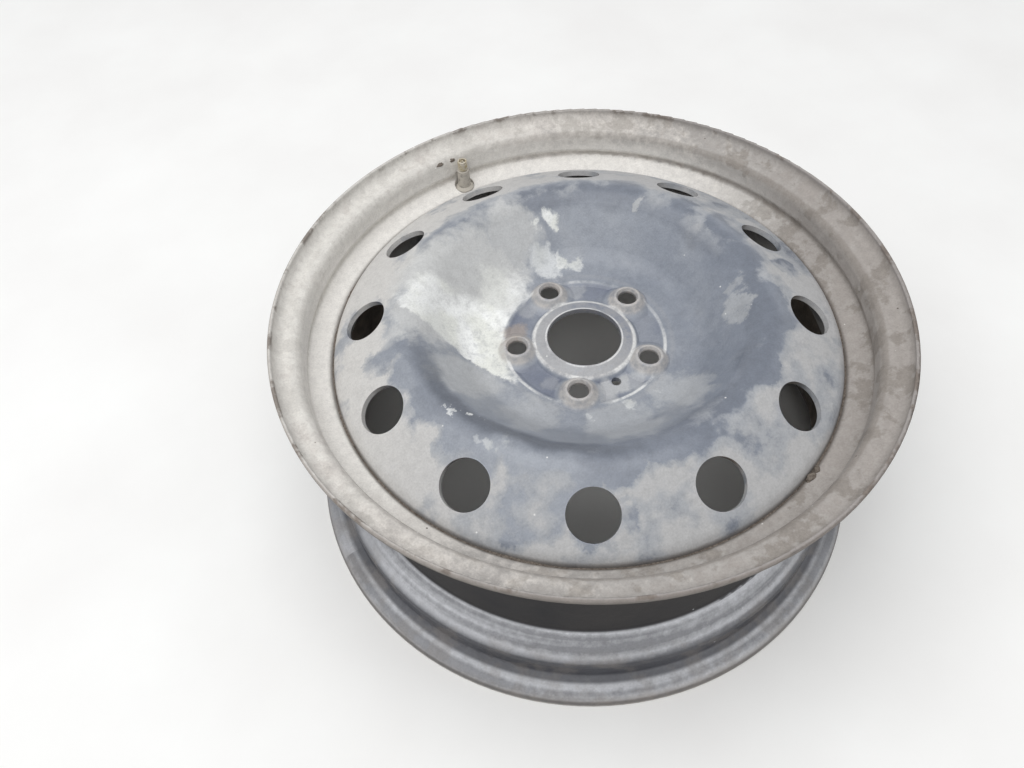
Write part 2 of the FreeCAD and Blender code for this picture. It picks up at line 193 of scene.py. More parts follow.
# Pressed steel dipped in blue-black paint: satin sheen, hazed by dried dirt, chalky where it was wiped wet
discLook = {
    # the deep paint colour is also painted shade toward the near right; the crest colour is bare paint
    # darkened as painted shade; the colour after it is painted shade in the hollow along the near-left crown
    "paint": "#878c95", "paintDeep": "#777d88", "crest": "#656b76", "troughShade": "#50555e", "haze": "#9a9ea5",
    "film": "#a6a8ab", "dust": "#b7b6b5", "farDust": "#d2cfca", "chalk": "#eeefed", "cream": "#dedfd9",
    "smear": "#c6c6c4", "speckDark": "#70757d", "earth": "#635c56", "seat": "#b6b2ae",
    # the seat-edge colour is edge wear and painted highlight
    "edgeWearAndHighlight": "#dededc", "rust": "#a69686", "collar": "#9b9da1", "pocket": "#6b7180", "grain": "#d8d8d6",
    "under": "#6e6c6a", "brakeDust": "#91867b",
    # spots: x, y and radius in millimetres, and strength
    "chalkSpots": [(-64, 46, 38, 1.0), (-74, 14, 30, 1.0), (-90, 60, 30, 0.7), (-44, 30, 28, 1.0),
                   (-30, 70, 26, 0.55), (14, 78, 14, 0.5)],
    # scuffs, and three soft spots of painted sheen along the near-left crown
    "scuffAndSheenSpots": [(31, 102, 8, 0.9), (16, 100, 5, 0.8), (24, 76, 9, 0.8), (34, 70, 8, 0.6),
                   (-121, -28, 2.8, 0.6), (-118, -34, 3.0, 0.65), (-115, -40, 3.2, 0.7),
                   (-111, -45, 2.8, 0.6), (-107, -50, 2.6, 0.5), (-118, -60, 5, 0.25), (-112, -67, 6, 0.35),
                   (-105, -76, 5, 0.25), (-6, -66, 6, 0.4), (24, -68, 6, 0.35), (-34, -66, 5, 0.3)],
    "smearSpots": [(-40, 84, 44, 0.85), (-2, 104, 26, 0.7), (-72, 84, 44, 0.85), (-104, 56, 32, 0.75),
                   (-94, 2, 30, 0.5), (-70, -42, 28, 0.35), (-20, -84, 32, 0.35), (30, -76, 26, 0.4),
                   (99, -44, 11, 0.4), (91, -52, 9, 0.35), (105, -31, 8, 0.3), (92, 69, 6, 0.5)],
    # grains: spacing and size in millimetres, and the share that is kept
    "grains": (11.0, 0.8, 0.12),
    "rustSpots": [(-41, 30, 11, 0.5), (-49, 20, 9, 0.3), (-29, -40, 10, 0.25), (2, 52, 9, 0.2)],
    # worn rings with painted highlight: radius and half width in millimetres
    "wornAndHighlitRings": [(36.9, 2.0), (28.0, 0.8), (59.0, 1.7)],
    "hubDirt": [(-9, -46, 10, 0.6), (2, -47, 10, 0.6), (-14, -53, 9, 0.5), (12, -50, 8, 0.35),
                (-42, -22, 8, 0.2), (-22, 47, 9, 0.25), (20, 46, 9, 0.25)],
    "bareSpots": [(-130, 6, 22, 1.0), (-128, -20, 20, 0.9), (-120, -62, 28, 1.0), (66, -104, 18, 0.9),
                  (-16, -124, 20, 0.9), (112, -66, 24, 0.8), (138, 14, 22, 0.9), (-142, -54, 12, 0.7),
                  (-108, -112, 30, 1.0), (98, 92, 16, 0.6), (-146, 34, 16, 0.8), (152, -38, 12, 0.8),
                  (-118, 60, 16, 0.9), (-62, -146, 10, 0.7), (14, -160, 8, 0.8), (-84, -110, 28, 1.0),
                  (-96, -88, 24, 1.0), (-50, -124, 18, 0.9), (-82, -138, 17, 1.0)],
    # how much one pattern moves another, and places in metres
    # the first value darkens the paint toward the near right as painted shade
    "sideShadeShift": 2.0, "hazeFine": 0.2, "hazeLift": 0.05, "crestWander": 0.034, "bareLoss": 0.23,
    # the wander and radius after the edge value place the painted shade band along the near-left crown
    "edgeWander": 0.012, "troughShadeWander": 0.016, "troughShadeRadius": 0.127, "gapsFine": 0.6,
    "collarReach": 0.040, "roughFine": 0.15, "reliefGrit": 0.5,
    # noises: width of the blots in millimetres, detail and roughness, from broad to grit
    "noises": [(85, 6.0, 0.55), (32, 5.0, 0.5), (7, 8.0, 0.7), (1.3, 3.0, 0.6)],
    # sides: ways across the wheel, seen from above
    "sides": {"farLeft": (-0.75, 0.66, 0.0), "edge": (0.83, 0.558, 0.0), "nearLeft": (-0.88, -0.47, 0.0),
              "right": (0.94, 0.33, 0.0)},
    # masks: the value where each starts and where it is full, then its least and most; places are in metres
    "masks": {
        "tone": even(0.34, 0.66), "haze": soft(0.45, 0.85, 0.1, 0.65),
        "hazeSideShade": even(-0.09, 0.03, 0.1, 1.0), "crestIn": soft(0.124, 0.132),
        "crestOut": soft(0.151, 0.142), "crestPatchy": even(0.3, 0.6, 0.25, 0.8),
        "ring": soft(0.126, 0.143, 0.0, 0.18), "side": even(-0.17, 0.17, 0.05, 0.6),
        "film": soft(0.65, 0.77, 0.0, 0.85), "onRing": soft(0.108, 0.128, 0.12, 1.0),
        "dust": soft(0.76, 0.89, 0.0, 0.75), "pale": even(0.02, 0.15), "keep": soft(-0.0535, -0.0505),
        "bowl": soft(0.0585, 0.0605), "streak": even(0.30, 0.50, 0.65, 1.0),
        "troughShade": soft(0.0085, 0.0015, 0.0, 0.75), "nearLeft": soft(0.072, 0.114),
        "creamy": even(0.44, 0.56), "hub": soft(0.0670, 0.0630), "high": soft(0.0058, 0.0082),
        "rubbed": even(0.30, 0.58, 0.25, 0.95), "low": soft(0.0060, 0.0046), "within": soft(0.0585, 0.0565),
        "worn": even(0.36, 0.62, 0.95, 0.3), "collar": soft(0.0362, 0.0345),
        "collarWorn": even(0.36, 0.60, 0.1, 0.95), "collarShadeSide": soft(-0.012, 0.030, 0.0, 0.75),
        "highlightLessRight": even(0.030, 0.055, 1.0, 0.3), "gaps": even(0.68, 0.88, 0.05, 0.85),
        "padTop": soft(0.0098, 0.0074), "joint": soft(0.1811, 0.1827, 0.0, 0.7),
        "dark": soft(0.56, 0.72, 0.0, 0.25), "below": even(0.05, -0.25),
        "brakeFilm": even(0.38, 0.62, 0.0, 0.8), "rough": even(0.0, 1.0, 0.26, 0.82),
    },
}


def makeDiscPaint(look):
    material, tree = newMaterial("dippedPaintOnPressedSteel")
    at = wheelPlace(tree)
    broad, middle, fine, grit = [add(tree, "TexNoise",
                                     {"Scale": perMm(width), "Detail": detail, "Roughness": rough},
                                     {"Vector": at["place"]}) for width, detail, rough in look["noises"]]
    toward = {side: add(tree, "VectorMath", {"operation": "DOT_PRODUCT", 1: way},
                        {0: at["flat"]}).outputs["Value"] for side, way in look["sides"].items()}
    masks = look["masks"]
    # paint darker toward the near right as painted shade, mixed with a broad random tone
    tone = add(tree, "Math", {"operation": "MULTIPLY_ADD", 1: look["sideShadeShift"]},
               {0: toward["farLeft"], 2: broad})
    tone = add(tree, "MapRange", masks["tone"], {"Value": tone})
    paint = add(tree, "Mix", {"data_type": "RGBA", "A": hexColour(look["paintDeep"]),
                              "B": hexColour(look["paint"])}, {"Factor": tone})

    # dried haze in the bowl, rubbed thin over the crest of the crown, where the bare paint is darkened as
    # painted shade that gives the crown its form
    hazeField = add(tree, "Math", {"operation": "MULTIPLY_ADD", 1: look["hazeFine"], 2: look["hazeLift"]},
                    {0: fine})
    hazeField = add(tree, "Math", {"operation": "ADD"}, {0: hazeField, 1: middle})
    haze = add(tree, "MapRange", masks["haze"], {"Value": hazeField})
    # the real haze thins toward the near right, which darkens that side as painted shade
    hazeSideShade = add(tree, "MapRange", masks["hazeSideShade"], {"Value": toward["farLeft"]})
    haze = add(tree, "Math", {"operation": "MULTIPLY"}, {0: haze, 1: hazeSideShade})
    wander = add(tree, "Math", {"operation": "MULTIPLY_ADD", 1: look["crestWander"]},
                 {0: middle, 2: at["radius"]})
    crestIn = add(tree, "MapRange", masks["crestIn"], {"Value": wander})
    crestOut = add(tree, "MapRange", masks["crestOut"], {"Value": wander})
    crest = add(tree, "Math", {"operation": "MULTIPLY"}, {0: crestIn, 1: crestOut})
    crestPatchy = add(tree, "MapRange", masks["crestPatchy"], {"Value": broad})
    crest = add(tree, "Math", {"operation": "MULTIPLY"}, {0: crest, 1: crestPatchy})

    # dust lies on the ring of vents: a grey film, paler sheets on it, both thin at the bare spots
    ring = add(tree, "MapRange", masks["ring"], {"Value": at["radius"]})
    side = add(tree, "MapRange", masks["side"], {"Value": toward["farLeft"]})
    bare = patches(tree, at["flat"], look["bareSpots"])
    cover = add(tree, "Math", {"operation": "MULTIPLY_ADD", 1: -look["bareLoss"]}, {0: bare, 2: hazeField})
    cover = add(tree, "Math", {"operation": "ADD"},
                {0: cover, 1: add(tree, "Math", {"operation": "MULTIPLY_ADD"},
                                  {0: ring, 1: side, 2: ring})})
    film = add(tree, "MapRange", masks["film"], {"Value": cover})
    onRing = add(tree, "MapRange", masks["onRing"], {"Value": at["radius"]})
    film = add(tree, "Math", {"operation": "MULTIPLY"}, {0: film, 1: onRing})
    dust = add(tree, "MapRange", masks["dust"], {"Value": cover})
    dust = add(tree, "Math", {"operation": "MULTIPLY"}, {0: dust, 1: onRing})
    pale = add(tree, "MapRange", masks["pale"], {"Value": toward["farLeft"]})
    dustColour = add(tree, "Mix",
                     {"data_type": "RGBA", "A": hexColour(look["dust"]), "B": hexColour(look["farDust"])},
                     {"Factor": pale})

    # the wiped, chalky field left of the hub stops at a straight edge
    edge = add(tree, "Math", {"operation": "MULTIPLY_ADD", 1: look["edgeWander"]},
               {0: fine, 2: toward["edge"]})
    keep = add(tree, "MapRange", masks["keep"], {"Value": edge})
    bowl = add(tree, "MapRange", masks["bowl"], {"Value": at["radius"]})
    keep = add(tree, "Math", {"operation": "MULTIPLY"}, {0: keep, 1: bowl})
    streak = add(tree, "MapRange", masks["streak"], {"Value": fine})
    chalk = add(tree, "Math", {"operation": "MULTIPLY"},
                {0: patches(tree, at["flat"], look["chalkSpots"], ragged=13.0), 1: streak})
    chalk = add(tree, "Math", {"operation": "MULTIPLY"}, {0: chalk, 1: keep})
    smear = add(tree, "Math", {"operation": "MULTIPLY"},
                {0: patches(tree, at["flat"], look["smearSpots"], ragged=13.0), 1: bowl})

    # a painted shade band in the hollow along the near left of the crown, and small scuffs with a few spots
    # of painted sheen
    troughShade = add(tree, "Math",
                 {"operation": "MULTIPLY_ADD", 1: look["troughShadeWander"], 2: -look["troughShadeRadius"]},
                 {0: middle})
    troughShade = add(tree, "Math", {"operation": "ADD"}, {0: troughShade, 1: at["radius"]})
    troughShade = add(tree, "Math", {"operation": "ABSOLUTE"}, {0: troughShade})
    troughShade = add(tree, "MapRange", masks["troughShade"], {"Value": troughShade})
    nearLeft = add(tree, "MapRange", masks["nearLeft"], {"Value": toward["nearLeft"]})
    troughShade = add(tree, "Math", {"operation": "MULTIPLY"}, {0: troughShade, 1: nearLeft})
    scuffAndSheen = add(tree, "Math", {"operation": "MULTIPLY"},
                {0: patches(tree, at["flat"], look["scuffAndSheenSpots"], ragged=9.0), 1: streak})
    chalk = add(tree, "Math", {"operation": "MAXIMUM"}, {0: chalk, 1: scuffAndSheen})
    creamy = add(tree, "MapRange", masks["creamy"], {"Value": middle})
    chalkColour = add(tree, "Mix",
                      {"data_type": "RGBA", "A": hexColour(look["chalk"]), "B": hexColour(look["cream"])},
                      {"Factor": creamy})

    # hub: rubbed seats and collar above blue pockets, with painted shade on the collar's right side; bright
    # lines along the bends are edge wear and painted highlight
    hub = add(tree, "MapRange", masks["hub"], {"Value": at["radius"]})
    high = add(tree, "MapRange", masks["high"], {"Value": at["height"]})
    rubbed = add(tree, "MapRange", masks["rubbed"], {"Value": fine})
    seat = add(tree, "Math", {"operation": "MULTIPLY"},
               {0: add(tree, "Math", {"operation": "MULTIPLY"}, {0: high, 1: hub}), 1: rubbed})
    low = add(tree, "MapRange", masks["low"], {"Value": at["height"]})
    within = add(tree, "MapRange", masks["within"], {"Value": at["radius"]})
    worn = add(tree, "MapRange", masks["worn"], {"Value": middle})
    pocket = add(tree, "Math", {"operation": "MULTIPLY"},
                 {0: add(tree, "Math", {"operation": "MULTIPLY"}, {0: low, 1: within}), 1: worn})
    collar = add(tree, "MapRange", masks["collar"], {"Value": at["radius"]})
    collarWorn = add(tree, "MapRange", masks["collarWorn"], {"Value": fine})
    collar = add(tree, "Math", {"operation": "MULTIPLY"}, {0: collar, 1: collarWorn})
    # painted shade on the collar's right side, in the pocket blue
    collarShadeSide = add(tree, "MapRange", masks["collarShadeSide"], {"Value": toward["right"]})
    collarShadeSide = add(tree, "Math", {"operation": "MULTIPLY"}, {0: collarShadeSide, 1: collar})
    # the bright lines along the bends are edge wear and painted highlight, weaker toward the right
    highlightLessRight = add(tree, "MapRange", masks["highlightLessRight"], {"Value": toward["right"]})
    hubDirt = patches(tree, at["flat"], look["hubDirt"], ragged=5.0)
    bright = None
    for radius, width in look["wornAndHighlitRings"]:
        off = add(tree, "Math", {"operation": "ABSOLUTE"},
                  {0: add(tree, "Math", {"operation": "SUBTRACT", 1: radius * mm}, {0: at["radius"]})})
        line = add(tree, "MapRange", soft(width * mm, width * mm * 0.3), {"Value": off})
        bright = line if bright is None else add(tree, "Math", {"operation": "MAXIMUM"},
                                                 {0: bright, 1: line})
    gaps = add(tree, "Math", {"operation": "MULTIPLY_ADD", 1: look["gapsFine"]}, {0: fine, 2: middle})
    gaps = add(tree, "MapRange", masks["gaps"], {"Value": gaps})
    bright = add(tree, "Math", {"operation": "MULTIPLY"}, {0: bright, 1: gaps})
    padTop = add(tree, "MapRange", masks["padTop"], {"Value": at["height"]})
    padTop = add(tree, "Math", {"operation": "MAXIMUM"},
                 {0: padTop, 1: add(tree, "Math", {"operation": "LESS_THAN", 1: look["collarReach"]},
                                    {0: at["radius"]})})
    bright = add(tree, "Math", {"operation": "MULTIPLY"}, {0: bright, 1: padTop})
    bright = add(tree, "Math", {"operation": "MULTIPLY"}, {0: bright, 1: highlightLessRight})

    # earth packed in the joint along the rim, rust stains beside the seats, pale grains
    joint = add(tree, "MapRange", masks["joint"], {"Value": at["radius"]})
    stain = patches(tree, at["flat"], look["rustSpots"], ragged=8.0)
    grains = specks(tree, at["place"], *look["grains"])
    dark = add(tree, "MapRange", masks["dark"], {"Value": fine})
    colour = coats(tree, paint,
                   [(haze, look["haze"]), (crest, look["crest"]), (film, look["film"]), (dust, dustColour),
                    (smear, look["smear"]), (troughShade, look["troughShade"]), (chalk, chalkColour),
                    (pocket, look["pocket"]), (seat, look["seat"]), (collar, look["collar"]),
                    (collarShadeSide, look["pocket"]), (hubDirt, look["smear"]), (bright, look["edgeWearAndHighlight"]),
                    (stain, look["rust"]), (joint, look["earth"]), (dark, look["speckDark"]),
                    (grains, look["grain"])])

    colour = grainy(tree, colour, grit, fine)

    # the hidden side keeps its plain dark dip coat under a film of brake dust
    below = add(tree, "MapRange", masks["below"], {"Value": at["faceUp"]})
    brakeFilm = add(tree, "MapRange", masks["brakeFilm"], {"Value": middle})
    under = add(tree, "Mix", {"data_type": "RGBA", "A": hexColour(look["under"]),
                              "B": hexColour(look["paintDeep"])}, {"Factor": tone})
    hidden = coats(tree, under, [(brakeFilm, look["brakeDust"])])
    colour = coats(tree, colour, [(below, hidden)])

    matt = add(tree, "Math", {"operation": "MAXIMUM"},
               {0: film, 1: add(tree, "Math", {"operation": "MAXIMUM"}, {0: chalk, 1: smear})})
    rough = add(tree, "MapRange", masks["rough"], {"Value": matt})
    rough = add(tree, "Math", {"operation": "MULTIPLY_ADD", 1: look["roughFine"]}, {0: fine, 2: rough})
    relief = add(tree, "Math", {"operation": "MULTIPLY_ADD", 1: look["reliefGrit"]}, {0: grit, 2: matt})
    relief = add(tree, "Math", {"operation": "ADD"}, {0: relief, 1: fine})
    bump = add(tree, "Bump", {"Strength": 0.35, "Distance": 0.0006}, {"Height": relief})
    shader = add(tree, "BsdfPrincipled", {"IOR": 1.5},
                 {"Base Color": colour, "Roughness": rough, "Normal": bump})
    add(tree, "OutputMaterial", links={"Surface": shader})
    return material


# Rolled steel, same dip paint: beige road dust on the face, rusty lips, dark barrel with dust on its ledges
rimLook = {
    "paint": "#4b4c51", "paintDeep": "#35363b", "shadow": "#1a1a1d",
    "faceTones": ["#a09a95", "#a8a4a0", "#c9c4be", "#d6d3cd"], "inner": "#e2dfda", "scab": "#867f78",
    "lip": "#989390", "rust": "#746a62", "ledge": "#cccdd1", "grain": "#e6e4df", "pit": "#5d5650",
    # the worn colour serves as a painted highlight on the flange's inner bend
    "brakeDust": "#94897e", "lowLip": "#bcb8b2", "worn": "#cfd0d3", "faceStops": (0.0, 0.36, 0.66, 1.0),
    # grains: spacing and size in millimetres, and the share that is kept
    "paleGrains": (11.0, 0.8, 0.16), "darkGrains": (13.0, 0.8, 0.2), "barrelGrains": (12.0, 0.8, 0.2),
    # how much one pattern moves another, and places in metres
    "blotchFine": 0.5, "blotchGain": 1.5, "blotchLoss": 1.125, "farSidePale": 0.13, "footRadius": 0.2018,
    "highlightBendRadius": 0.2103, "streakTurn": 0.005, "streakFine": 0.3, "frontWander": 0.14, "roughFine": 0.15,
    "reliefGrit": 0.6, "streakWidth": 7,
    # noises: width of the blots in millimetres, detail and roughness, from broad to grit
    "noises": [(70, 6.0, 0.55), (22, 9.0, 0.62), (6, 8.0, 0.7), (1.3, 3.0, 0.6)],
    # sides: ways across the wheel, seen from above
    "sides": {"farLeft": (-0.75, 0.66, 0.0), "farSide": (-0.35, 0.94, 0.0), "front": (-0.44, -0.90, 0.0)},
    # masks: the value where each starts and where it is full, then its least and most; places are in metres
    "masks": {
        "tone": even(0.34, 0.66), "tyreSide": even(0.05, 0.25), "topEnd": even(0.004, 0.010),
        "lip": soft(0.0450, 0.0490), "side": even(-0.20, 0.20, 0.02, 0.92),
        "farSide": even(-0.07, 0.06, 0.0, 0.9), "patch": soft(0.50, 0.59, 0.0, 0.75),
        "patchSide": even(0.16, -0.12, 0.2, 1.0), "innerBand": soft(0.2005, 0.1985),
        "lipWear": even(0.25, 0.55, 0.4, 0.9), "lipRust": soft(0.50, 0.60, 0.0, 0.8),
        "edge": soft(0.2185, 0.2197, 0.0, 0.5), "groove": soft(0.1862, 0.1838, 0.0, 0.7),
        "foot": soft(0.0026, 0.0008, 0.0, 0.55), "ledge": soft(0.32, 0.62),
        "ledgeTone": even(0.50, 0.76, 0.4, 1.0), "front": soft(0.10, 0.22, 0.22, 1.0),
        "mucky": soft(0.46, 0.62, 0.0, 0.3), "lowLedge": even(-0.095, -0.102),
        "fall": even(0.190, 0.204, 1.0, 0.72), "rise": even(0.2065, 0.2090, 0.0, 0.3),
        "wellShadow": soft(-0.0862, -0.0822), "thin": even(0.35, 0.65, 0.0, 0.06),
        "seatHeight": soft(-0.100, -0.106), "seatWide": soft(0.2092, 0.2060, 0.0, 0.8),
        "bend": soft(0.0016, 0.0004, 0.0, 0.55), "brown": soft(0.2150, 0.2190, 0.0, 0.6),
        "lowLip": soft(-0.1355, -0.1385, 0.0, 0.75), "inward": even(-0.2, -0.5),
        "brakeFilm": even(0.34, 0.6, 0.3, 0.9), "rough": even(0.0, 1.0, 0.36, 0.8),
    },
}


def makeRimPaint(look):
    material, tree = newMaterial("dippedPaintOnRolledSteel")
    at = wheelPlace(tree)
    broad, middle, fine, grit = [add(tree, "TexNoise",
                                     {"Scale": perMm(width), "Detail": detail, "Roughness": rough},
                                     {"Vector": at["place"]}) for width, detail, rough in look["noises"]]
    toward = {side: add(tree, "VectorMath", {"operation": "DOT_PRODUCT", 1: way},
                        {0: at["flat"]}).outputs["Value"] for side, way in look["sides"].items()}
    masks = look["masks"]
    tone = add(tree, "MapRange", masks["tone"], {"Value": broad})
    paint = add(tree, "Mix", {"data_type": "RGBA", "A": hexColour(look["paintDeep"]),
                              "B": hexColour(look["paint"])}, {"Factor": tone})

    # outward faces carry the tyre, inward and upward faces of the outer end are the show face
    wayOut = add(tree, "CombineXYZ", links={0: at["faceX"], 1: at["faceY"]})
    spoke = add(tree, "VectorMath", {"operation": "NORMALIZE"}, {0: at["flat"]})
    outward = add(tree, "VectorMath", {"operation": "DOT_PRODUCT"}, {0: wayOut, 1: spoke}).outputs["Value"]
    tyreSide = add(tree, "MapRange", masks["tyreSide"], {"Value": outward})
    topEnd = add(tree, "MapRange", masks["topEnd"], {"Value": at["height"]})
    lip = add(tree, "MapRange", masks["lip"], {"Value": at["height"]})
    tyreSide = add(tree, "Math", {"operation": "SUBTRACT", "use_clamp": True}, {0: tyreSide, 1: lip})
    show = add(tree, "Math", {"operation": "SUBTRACT", "use_clamp": True}, {0: topEnd, 1: tyreSide})

    # face: pale beige far left, grey-brown near right, blotched
    side = add(tree, "MapRange", masks["side"], {"Value": toward["farLeft"]})
    blotch = add(tree, "Math", {"operation": "MULTIPLY_ADD", 1: look["blotchFine"]}, {0: fine, 2: middle})
    blotch = add(tree, "Math", {"operation": "MULTIPLY_ADD", 1: look["blotchGain"], 2: -look["blotchLoss"]},
                 {0: blotch})
    farSide = add(tree, "MapRange", masks["farSide"], {"Value": toward["farSide"]})
    shade = add(tree, "Math", {"operation": "ADD"}, {0: side, 1: blotch})
    shade = add(tree, "Math", {"operation": "MULTIPLY_ADD", 1: look["farSidePale"]}, {0: farSide, 2: shade})
    face = add(tree, "ValToRGB", {"stops": list(zip(look["faceStops"], look["faceTones"]))}, {"Fac": shade})
    patch = add(tree, "MapRange", masks["patch"], {"Value": middle})
    patchSide = add(tree, "MapRange", masks["patchSide"], {"Value": toward["farLeft"]})
    innerBand = add(tree, "MapRange", masks["innerBand"], {"Value": at["radius"]})
    innerBand = add(tree, "Math", {"operation": "MULTIPLY"}, {0: innerBand, 1: farSide})
    patch = add(tree, "Math", {"operation": "MULTIPLY"}, {0: patch, 1: patchSide})
    patch = add(tree, "Math", {"operation": "SUBTRACT", "use_clamp": True}, {0: patch, 1: innerBand})
    lipWear = add(tree, "MapRange", masks["lipWear"], {"Value": fine})
    lipWear = add(tree, "Math", {"operation": "MULTIPLY"}, {0: lip, 1: lipWear})
    lipRust = add(tree, "MapRange", masks["lipRust"], {"Value": middle})
    lipRust = add(tree, "Math", {"operation": "MULTIPLY"}, {0: lip, 1: lipRust})
    edge = add(tree, "MapRange", masks["edge"], {"Value": at["radius"]})
    # grime gathers in the groove beside the disc and at the foot of the flange
    groove = add(tree, "MapRange", masks["groove"], {"Value": at["radius"]})
    foot = add(tree, "Math", {"operation": "ABSOLUTE"},
               {0: add(tree, "Math", {"operation": "SUBTRACT", 1: look["footRadius"]}, {0: at["radius"]})})
    foot = add(tree, "MapRange", masks["foot"], {"Value": foot})
    foot = add(tree, "Math", {"operation": "MULTIPLY"}, {0: foot, 1: patchSide})
    lipWear = add(tree, "Math", {"operation": "MULTIPLY"}, {0: lipWear, 1: patchSide})
    paleGrains = specks(tree, at["place"], *look["paleGrains"])
    darkGrains = specks(tree, at["place"], *look["darkGrains"])
    face = coats(tree, face, [(innerBand, look["inner"]), (patch, look["scab"]), (foot, look["scab"]),
                              (lipWear, look["lip"]), (lipRust, look["rust"]), (edge, look["rust"]),
                              (groove, look["pit"]), (paleGrains, look["grain"]),
                              (darkGrains, look["pit"])])

    # barrel: painted shadow in the well, tyre rubber and painted shade on the bead seat, a painted highlight
    # at the flange's inner bend, dust on what faces up, streaked round the barrel
    angle = add(tree, "Math", {"operation": "ARCTAN2"}, {0: at["y"], 1: at["x"]})
    along = add(tree, "CombineXYZ",
                links={0: at["radius"], 1: at["height"],
                       2: add(tree, "Math", {"operation": "MULTIPLY", 1: look["streakTurn"]}, {0: angle})})
    streak = add(tree, "TexNoise", {"Scale": perMm(look["streakWidth"]), "Detail": 2.0, "Roughness": 0.4},
                 {"Vector": along})
    ledge = add(tree, "MapRange", masks["ledge"], {"Value": at["faceUp"]})
    streaks = add(tree, "Math", {"operation": "MULTIPLY_ADD", 1: look["streakFine"]}, {0: fine, 2: streak})
    ledgeTone = add(tree, "MapRange", masks["ledgeTone"], {"Value": streaks})
    front = add(tree, "Math", {"operation": "MULTIPLY_ADD", 1: look["frontWander"]},
                {0: broad, 2: toward["front"]})
    front = add(tree, "MapRange", masks["front"], {"Value": front})
    ledgeTone = add(tree, "Math", {"operation": "MULTIPLY"}, {0: ledgeTone, 1: front})
    mucky = add(tree, "MapRange", masks["mucky"], {"Value": middle})
    lowLedge = add(tree, "MapRange", masks["lowLedge"], {"Value": at["height"]})
    mucky = add(tree, "Math", {"operation": "MULTIPLY"}, {0: mucky, 1: lowLedge})
    fall = add(tree, "MapRange", masks["fall"], {"Value": at["radius"]})
    rise = add(tree, "MapRange", masks["rise"], {"Value": at["radius"]})
    ledge = add(tree, "Math", {"operation": "MULTIPLY"}, {0: ledge, 1: ledgeTone})
    ledge = add(tree, "Math", {"operation": "MULTIPLY"},
                {0: ledge, 1: add(tree, "Math", {"operation": "ADD"}, {0: fall, 1: rise})})
    # painted shadow in the well under the flange
    wellShadow = add(tree, "MapRange", masks["wellShadow"], {"Value": at["height"]})
    ledge = add(tree, "Math", {"operation": "MULTIPLY"},
                {0: ledge, 1: add(tree, "Math", {"operation": "SUBTRACT", 0: 1.0}, {1: wellShadow})})
    thin = add(tree, "MapRange", masks["thin"], {"Value": broad})
    thin = add(tree, "Math", {"operation": "MULTIPLY"}, {0: thin, 1: wellShadow})
    # the bead seat is dark from tyre rubber and painted shade, laid in plain paint
    seatHeight = add(tree, "MapRange", masks["seatHeight"], {"Value": at["height"]})
    seatWide = add(tree, "MapRange", masks["seatWide"], {"Value": at["radius"]})
    rubberMarkAndShade = add(tree, "Math", {"operation": "MULTIPLY"}, {0: seatHeight, 1: seatWide})
    # a painted highlight along the flange's inner bend, in the worn colour
    bendOff = add(tree, "Math", {"operation": "ABSOLUTE"},
                  {0: add(tree, "Math", {"operation": "SUBTRACT", 1: look["highlightBendRadius"]},
                          {0: at["radius"]})})
    bend = add(tree, "MapRange", masks["bend"], {"Value": bendOff})
    bend = add(tree, "Math", {"operation": "MULTIPLY"}, {0: bend, 1: ledgeTone})
    brown = add(tree, "MapRange", masks["brown"], {"Value": at["radius"]})
    brown = add(tree, "Math", {"operation": "MULTIPLY"}, {0: brown, 1: ledgeTone})
    lowLip = add(tree, "MapRange", masks["lowLip"], {"Value": at["height"]})
    inward = add(tree, "MapRange", masks["inward"], {"Value": outward})
    brakeFilm = add(tree, "MapRange", masks["brakeFilm"], {"Value": middle})
    brakeFilm = add(tree, "Math", {"operation": "MULTIPLY"}, {0: brakeFilm, 1: inward})
    barrelGrains = specks(tree, at["place"], *look["barrelGrains"])
    barrel = coats(tree, paint,
                   [(wellShadow, look["shadow"]), (thin, look["brakeDust"]), (ledge, look["ledge"]),
                    (rubberMarkAndShade, paint), (bend, look["worn"]), (lowLip, look["lowLip"]),
                    (brown, look["scab"]), (mucky, look["scab"]), (brakeFilm, look["brakeDust"]),
                    (barrelGrains, look["ledge"])])

    colour = coats(tree, barrel, [(show, face)])
    colour = grainy(tree, colour, grit, fine)
    dusty = add(tree, "Math", {"operation": "MAXIMUM"},
                {0: show, 1: add(tree, "Math", {"operation": "MAXIMUM"}, {0: ledge, 1: wellShadow})})
    rough = add(tree, "MapRange", masks["rough"], {"Value": dusty})
    rough = add(tree, "Math", {"operation": "MULTIPLY_ADD", 1: look["roughFine"]}, {0: fine, 2: rough})
    relief = add(tree, "Math", {"operation": "MULTIPLY_ADD", 1: look["reliefGrit"]}, {0: grit, 2: fine})
    bump = add(tree, "Bump", {"Strength": 0.4, "Distance": 0.0008}, {"Height": relief})
    shader = add(tree, "BsdfPrincipled", {"IOR": 1.5},
                 {"Base Color": colour, "Roughness": rough, "Normal": bump})
    add(tree, "OutputMaterial", links={"Surface": shader})
    return material


# Arc-welded bead under paint: scaly ripples across the run
weldLook = {"paint": "#3f4044", "dust": "#8c857c", "rippleSpacing": 2.6, "radius": 180.0, "scale": 3,
            "wobble": 3.0}


